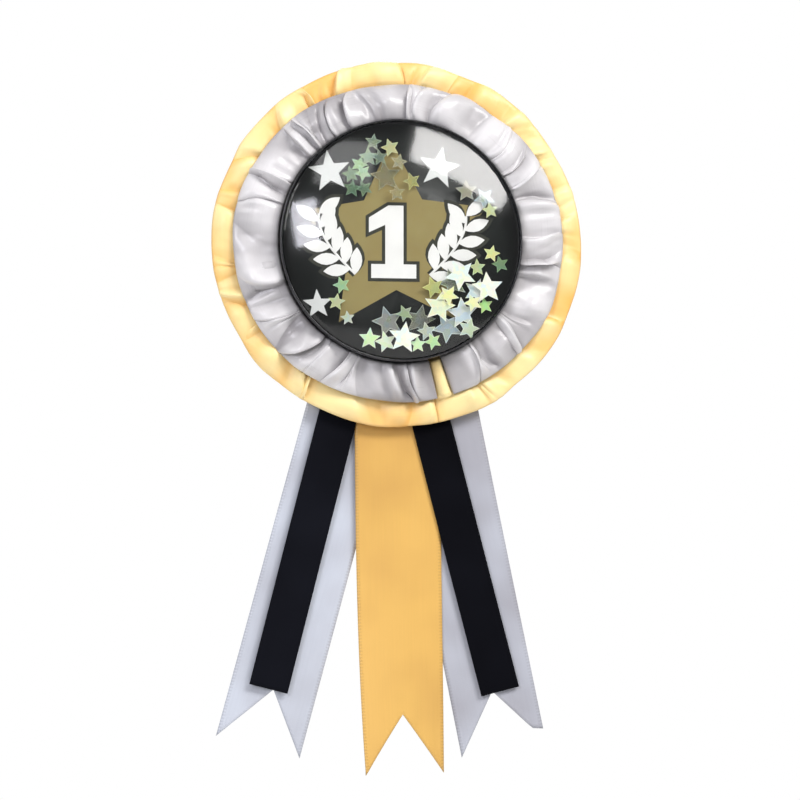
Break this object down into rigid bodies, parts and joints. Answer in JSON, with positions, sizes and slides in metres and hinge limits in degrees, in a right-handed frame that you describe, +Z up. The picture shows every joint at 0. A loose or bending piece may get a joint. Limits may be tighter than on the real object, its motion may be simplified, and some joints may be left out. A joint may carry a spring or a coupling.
{
  "type": "award rosette",
  "caption": "Award rosette with a clear-domed badge holding loose foil stars, two gathered satin ruffles, ribbon tails and a locking bar pin on the back.",
  "frame": {"origin": "middle of the bar pin's needle, where the garment holds the rosette", "axes": "+Z up as worn, -Y out of the front of the badge, +X to the right of someone who looks at it"},
  "size_m": [0.0944, 0.0255, 0.1826],
  "materials": {
    "clear_plastic": "clear polished",
    "black_plastic": "moulded gloss black",
    "printed_card": "printed and coated card",
    "star_film": "clear holographic film",
    "gold_satin": "satin weave",
    "silver_satin": "satin weave",
    "black_satin": "satin weave",
    "thread": "polyester sewing thread",
    "card": "uncoated white card",
    "foam": "double-sided foam",
    "nickel": "nickel-plated steel"
  },
  "bodies": {
    "rosette": {"clear_dome": "clear_plastic", "badge_cup": "black_plastic", "print_card": "printed_card", "badge_glue_pad": "foam", "silver_ruffle": "silver_satin", "silver_gather_thread": "thread", "gold_ruffle": "gold_satin", "gold_gather_thread": "thread", "rosette_card": "card", "card_spacer": "foam", "silver_tail_left_top": "silver_satin", "silver_tail_right_top": "silver_satin", "gold_tail_top": "gold_satin", "black_tail_left_top": "black_satin", "black_tail_right_top": "black_satin", "back_card": "card", "pin_pad": "foam", "pin_base": "nickel", "pin_rivet": "nickel"},
    "silver_tail_left": {"silver_tail_left": "silver_satin"},
    "silver_tail_right": {"silver_tail_right": "silver_satin"},
    "gold_tail": {"gold_tail": "gold_satin"},
    "black_tail_left": {"black_tail_left": "black_satin"},
    "black_tail_right": {"black_tail_right": "black_satin"},
    "needle": {"pin_needle": "nickel"},
    "lock": {"pin_lock": "nickel"},
    "loose_star_04": {"loose_star_04": "star_film"},
    "loose_star_01": {"loose_star_01": "star_film"},
    "loose_star_02": {"loose_star_02": "star_film"},
    "loose_star_03": {"loose_star_03": "star_film"},
    "loose_star_05": {"loose_star_05": "star_film"},
    "loose_star_06": {"loose_star_06": "star_film"},
    "loose_star_07": {"loose_star_07": "star_film"},
    "loose_star_08": {"loose_star_08": "star_film"},
    "loose_star_09": {"loose_star_09": "star_film"},
    "loose_star_10": {"loose_star_10": "star_film"},
    "loose_star_11": {"loose_star_11": "star_film"},
    "loose_star_12": {"loose_star_12": "star_film"},
    "loose_star_13": {"loose_star_13": "star_film"},
    "loose_star_14": {"loose_star_14": "star_film"},
    "loose_star_15": {"loose_star_15": "star_film"},
    "loose_star_16": {"loose_star_16": "star_film"},
    "loose_star_17": {"loose_star_17": "star_film"},
    "loose_star_18": {"loose_star_18": "star_film"},
    "loose_star_19": {"loose_star_19": "star_film"},
    "loose_star_20": {"loose_star_20": "star_film"}
  },
  "joints": [
    {"name": "tails_lift", "type": "hinge", "parent": "rosette", "child": "silver_tail_left", "pos_m": [0, -0.00535, -0.0638], "axis": [-1, 0, 0], "range_deg": [0, 60]},
    {"name": "silver_tail_right_lift", "type": "hinge", "parent": "rosette", "child": "silver_tail_right", "pos_m": [0, -0.0059, -0.0632], "axis": [-1, 0, 0], "range_deg": [0, 63.6]},
    {"name": "gold_tail_lift", "type": "hinge", "parent": "rosette", "child": "gold_tail", "pos_m": [0, -0.00645, -0.0626], "axis": [-1, 0, 0], "range_deg": [0, 67.2]},
    {"name": "black_tail_left_lift", "type": "hinge", "parent": "rosette", "child": "black_tail_left", "pos_m": [0, -0.007, -0.062], "axis": [-1, 0, 0], "range_deg": [0, 72]},
    {"name": "black_tail_right_lift", "type": "hinge", "parent": "rosette", "child": "black_tail_right", "pos_m": [0, -0.007, -0.062], "axis": [-1, 0, 0], "range_deg": [0, 72]},
    {"name": "pin_swing", "type": "hinge", "parent": "rosette", "child": "needle", "pos_m": [-0.0145, 0, 0], "axis": [0, 0, 1], "range_deg": [0, 75]},
    {"name": "lock_turn", "type": "hinge", "parent": "rosette", "child": "lock", "pos_m": [0.0125, 0, 0], "axis": [-1, 0, 0], "range_deg": [0, 110]},
    {"name": "confetti_shake", "type": "slide", "parent": "rosette", "child": "loose_star_04", "axis": [-0.5547, 0, 0.8321], "range_m": [0, 0.01442]},
    {"name": "confetti_shake_01", "type": "slide", "parent": "rosette", "child": "loose_star_01", "axis": [-0.6247, 0, 0.7809], "range_m": [0, 0.01281]},
    {"name": "confetti_shake_02", "type": "slide", "parent": "rosette", "child": "loose_star_02", "axis": [-0.6139, 0, 0.7894], "range_m": [0, 0.01141]},
    {"name": "confetti_shake_03", "type": "slide", "parent": "rosette", "child": "loose_star_03", "axis": [-0.4472, 0, 0.8944], "range_m": [0, 0.01118]},
    {"name": "confetti_shake_05", "type": "slide", "parent": "rosette", "child": "loose_star_05", "axis": [-0.5369, 0, 0.8437], "range_m": [0, 0.01304]},
    {"name": "confetti_shake_06", "type": "slide", "parent": "rosette", "child": "loose_star_06", "axis": [-0.6644, 0, 0.7474], "range_m": [0, 0.01205]},
    {"name": "confetti_shake_07", "type": "slide", "parent": "rosette", "child": "loose_star_07", "axis": [-0.6139, 0, 0.7894], "range_m": [0, 0.01141]},
    {"name": "confetti_shake_08", "type": "slide", "parent": "rosette", "child": "loose_star_08", "axis": [0.6508, 0, -0.7593], "range_m": [0, 0.00922]},
    {"name": "confetti_shake_09", "type": "slide", "parent": "rosette", "child": "loose_star_09", "axis": [-0.534, 0, 0.8455], "range_m": [0, 0.01124]},
    {"name": "confetti_shake_10", "type": "slide", "parent": "rosette", "child": "loose_star_10", "axis": [-0.7071, 0, 0.7071], "range_m": [0, 0.01274]},
    {"name": "confetti_shake_11", "type": "slide", "parent": "rosette", "child": "loose_star_11", "axis": [-0.7526, 0, 0.6585], "range_m": [0, 0.01063]},
    {"name": "confetti_shake_12", "type": "slide", "parent": "rosette", "child": "loose_star_12", "axis": [-0.8137, 0, 0.5812], "range_m": [0, 0.0086]},
    {"name": "confetti_shake_13", "type": "slide", "parent": "rosette", "child": "loose_star_13", "axis": [-0.6402, 0, 0.7682], "range_m": [0, 0.00782]},
    {"name": "confetti_shake_14", "type": "slide", "parent": "rosette", "child": "loose_star_14", "axis": [-0.4856, 0, 0.8742], "range_m": [0, 0.0103]},
    {"name": "confetti_shake_15", "type": "slide", "parent": "rosette", "child": "loose_star_15", "axis": [-0.6644, 0, 0.7474], "range_m": [0, 0.01205]},
    {"name": "confetti_shake_16", "type": "slide", "parent": "rosette", "child": "loose_star_16", "axis": [-0.6854, 0, 0.7282], "range_m": [0, 0.01167]},
    {"name": "confetti_shake_17", "type": "slide", "parent": "rosette", "child": "loose_star_17", "axis": [-0.53, 0, 0.848], "range_m": [0, 0.00944]},
    {"name": "confetti_shake_18", "type": "slide", "parent": "rosette", "child": "loose_star_18", "axis": [-0.4856, 0, 0.8742], "range_m": [0, 0.0103]},
    {"name": "confetti_shake_19", "type": "slide", "parent": "rosette", "child": "loose_star_19", "axis": [-0.4008, 0, 0.9162], "range_m": [0, 0.00873]},
    {"name": "confetti_shake_20", "type": "slide", "parent": "rosette", "child": "loose_star_20", "axis": [-0.7071, 0, -0.7071], "range_m": [0, 0.0099]}
  ],
  "couplings": [
    {"joint": "silver_tail_right_lift", "follows": "tails_lift", "ratio": 1.06},
    {"joint": "gold_tail_lift", "follows": "tails_lift", "ratio": 1.12},
    {"joint": "black_tail_left_lift", "follows": "tails_lift", "ratio": 1.2},
    {"joint": "black_tail_right_lift", "follows": "tails_lift", "ratio": 1.2},
    {"joint": "confetti_shake_01", "follows": "confetti_shake", "ratio": 0.888},
    {"joint": "confetti_shake_02", "follows": "confetti_shake", "ratio": 0.791},
    {"joint": "confetti_shake_03", "follows": "confetti_shake", "ratio": 0.775},
    {"joint": "confetti_shake_05", "follows": "confetti_shake", "ratio": 0.904},
    {"joint": "confetti_shake_06", "follows": "confetti_shake", "ratio": 0.835},
    {"joint": "confetti_shake_07", "follows": "confetti_shake", "ratio": 0.791},
    {"joint": "confetti_shake_08", "follows": "confetti_shake", "ratio": 0.639},
    {"joint": "confetti_shake_09", "follows": "confetti_shake", "ratio": 0.779},
    {"joint": "confetti_shake_10", "follows": "confetti_shake", "ratio": 0.883},
    {"joint": "confetti_shake_11", "follows": "confetti_shake", "ratio": 0.737},
    {"joint": "confetti_shake_12", "follows": "confetti_shake", "ratio": 0.596},
    {"joint": "confetti_shake_13", "follows": "confetti_shake", "ratio": 0.542},
    {"joint": "confetti_shake_14", "follows": "confetti_shake", "ratio": 0.714},
    {"joint": "confetti_shake_15", "follows": "confetti_shake", "ratio": 0.835},
    {"joint": "confetti_shake_16", "follows": "confetti_shake", "ratio": 0.809},
    {"joint": "confetti_shake_17", "follows": "confetti_shake", "ratio": 0.654},
    {"joint": "confetti_shake_18", "follows": "confetti_shake", "ratio": 0.714},
    {"joint": "confetti_shake_19", "follows": "confetti_shake", "ratio": 0.605},
    {"joint": "confetti_shake_20", "follows": "confetti_shake", "ratio": 0.686}
  ]
}
